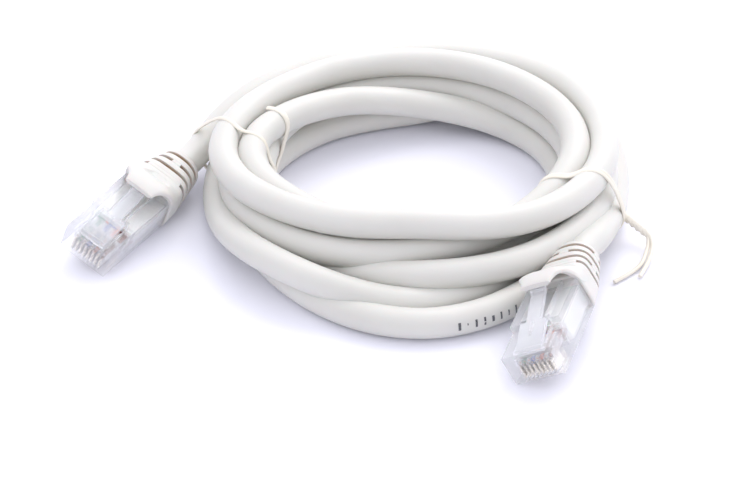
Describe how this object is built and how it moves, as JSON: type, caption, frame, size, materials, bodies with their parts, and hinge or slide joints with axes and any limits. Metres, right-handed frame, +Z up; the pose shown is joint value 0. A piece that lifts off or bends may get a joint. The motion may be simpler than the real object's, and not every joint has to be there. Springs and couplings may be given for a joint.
{
  "type": "network patch lead",
  "caption": "Coiled round network patch lead with clear modular plugs in slotted snagless boots, held in a ring by wire twist ties.",
  "frame": {"origin": "middle of the coiled ring, on the surface that it lies on", "axes": "+Z up, coil flat on the XY plane; both plugs point towards -Y, plug A at -X and plug B at +X"},
  "size_m": [0.123, 0.1143, 0.0192],
  "materials": {
    "jacket": "soft satin PVC",
    "boot_pvc": "soft satin PVC",
    "clear_plastic": "clear polished polycarbonate",
    "gold_plate": "gold plated",
    "copper": "bright drawn copper",
    "white_mould": "satin",
    "tie_plastic": "satin",
    "tie_core": "drawn wire",
    "wire_white_green": "satin insulation",
    "wire_green": "satin insulation",
    "wire_white_orange": "satin insulation",
    "wire_blue": "satin insulation",
    "wire_white_blue": "satin insulation",
    "wire_orange": "satin insulation",
    "wire_white_brown": "satin insulation",
    "wire_brown": "satin insulation"
  },
  "bodies": {
    "cable": {"a_housing": "clear_plastic", "a_contacts": "gold_plate", "a_load_bar": "clear_plastic", "a_wire_cores": "copper", "a_inner_mould": "white_mould", "a_boot": "boot_pvc", "a_wire_1": "wire_white_green", "a_wire_2": "wire_green", "a_wire_3": "wire_white_orange", "a_wire_4": "wire_blue", "a_wire_5": "wire_white_blue", "a_wire_6": "wire_orange", "a_wire_7": "wire_white_brown", "a_wire_8": "wire_brown", "b_housing": "clear_plastic", "b_contacts": "gold_plate", "b_load_bar": "clear_plastic", "b_wire_cores": "copper", "b_inner_mould": "white_mould", "b_boot": "boot_pvc", "b_wire_1": "wire_white_green", "b_wire_2": "wire_green", "b_wire_3": "wire_white_orange", "b_wire_4": "wire_blue", "b_wire_5": "wire_white_blue", "b_wire_6": "wire_orange", "b_wire_7": "wire_white_brown", "b_wire_8": "wire_brown", "lead_a": "jacket", "coil": "jacket", "lead_b": "jacket", "tie_left": "tie_plastic", "tie_right": "tie_plastic", "tie_left_wire": "tie_core", "tie_right_wire": "tie_core"},
    "latch_a": {"a_latch": "clear_plastic"},
    "hood_a": {"a_hood": "boot_pvc"},
    "latch_b": {"b_latch": "clear_plastic"},
    "hood_b": {"b_hood": "boot_pvc"}
  },
  "joints": [
    {"name": "hood_press_a", "type": "hinge", "parent": "cable", "child": "hood_a", "pos_m": [-0.05551, -0.00154, 0.01042], "axis": [0.7948, -0.4775, -0.3746], "range_deg": [0, 10], "stiffness_Nm_per_rad": 0.0003},
    {"name": "latch_press_a", "type": "hinge", "parent": "cable", "child": "latch_a", "pos_m": [-0.0684, -0.0211, 0.00801], "axis": [-0.7948, 0.4775, 0.3746], "range_deg": [0, 7.5]},
    {"name": "hood_press_b", "type": "hinge", "parent": "cable", "child": "hood_b", "pos_m": [0.02728, -0.03694, 0.01167], "axis": [0.8034, -0.2995, 0.5146], "range_deg": [0, 10], "stiffness_Nm_per_rad": 0.0003},
    {"name": "latch_press_b", "type": "hinge", "parent": "cable", "child": "latch_b", "pos_m": [0.02096, -0.05939, 0.00846], "axis": [-0.8034, 0.2995, -0.5146], "range_deg": [0, 7.5]}
  ],
  "couplings": [
    {"joint": "latch_press_a", "follows": "hood_press_a", "ratio": 0.75},
    {"joint": "latch_press_b", "follows": "hood_press_b", "ratio": 0.75}
  ]
}
